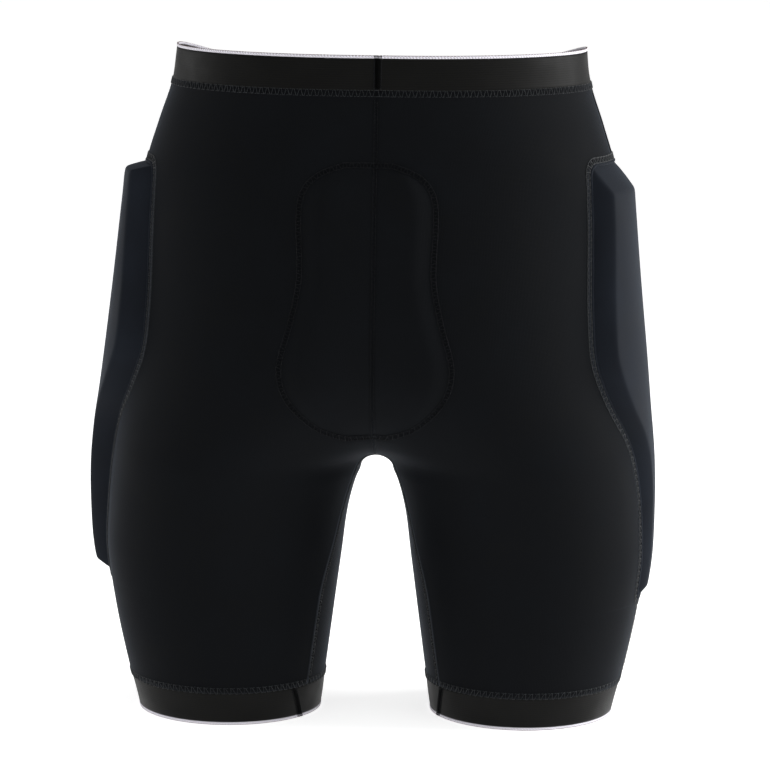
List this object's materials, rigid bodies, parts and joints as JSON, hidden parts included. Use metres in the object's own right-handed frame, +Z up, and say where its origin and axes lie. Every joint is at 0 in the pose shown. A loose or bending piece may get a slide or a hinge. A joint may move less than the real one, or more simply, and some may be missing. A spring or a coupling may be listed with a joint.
{
  "type": "padded impact shorts",
  "caption": "Close-fitting stretch shorts with thick foam pads sewn over the hips and tailbone, an elastic waistband and elastic leg bands, worn under ski clothing.",
  "frame": {"origin": "middle of the garment's bounding box, at the level of the two hems", "axes": "+Z up toward the waist, +X to the wearer's right, +Y toward the wearer's front"},
  "size_m": [0.4116, 0.2278, 0.485],
  "materials": {
    "knit": "near-black stretch knit with a soft sheen",
    "gusset_knit": "near-black stretch knit",
    "cover_knit": "near-black stretch knit stretched over the pad",
    "elastic": "black ribbed elastic",
    "woven_edge": "light woven edge",
    "grey_thread": "grey coverstitch thread",
    "dark_thread": "black thread",
    "foam": "closed-cell foam",
    "mesh_liner": "fine black mesh"
  },
  "bodies": {
    "root": {"back_panel_left": "knit", "back_panel_right": "knit", "centre_back_seam": "dark_thread", "centre_front_seam": "dark_thread", "front_panel_left": "knit", "front_panel_right": "knit", "gusset_seam_back": "grey_thread", "gusset_seam_front": "grey_thread", "hip_pad_cover_left": "cover_knit", "hip_pad_cover_right": "cover_knit", "hip_pad_left": "foam", "hip_pad_liner_left": "mesh_liner", "hip_pad_liner_right": "mesh_liner", "hip_pad_right": "foam", "hip_pad_seam_left": "grey_thread", "hip_pad_seam_right": "grey_thread", "inseam_gusset": "gusset_knit", "leg_band_edging_left": "woven_edge", "leg_band_edging_right": "woven_edge", "leg_band_join_left": "dark_thread", "leg_band_join_right": "dark_thread", "leg_band_left": "elastic", "leg_band_right": "elastic", "leg_seam_left": "grey_thread", "leg_seam_right": "grey_thread", "side_seam_lower_left": "dark_thread", "side_seam_lower_right": "dark_thread", "side_seam_upper_left": "dark_thread", "side_seam_upper_right": "dark_thread", "tailbone_pad": "foam", "tailbone_pad_liner": "mesh_liner", "tailbone_seam": "dark_thread", "waist_seam": "grey_thread", "waistband": "elastic", "waistband_edging": "woven_edge", "waistband_join": "dark_thread"}
  },
  "joints": []
}
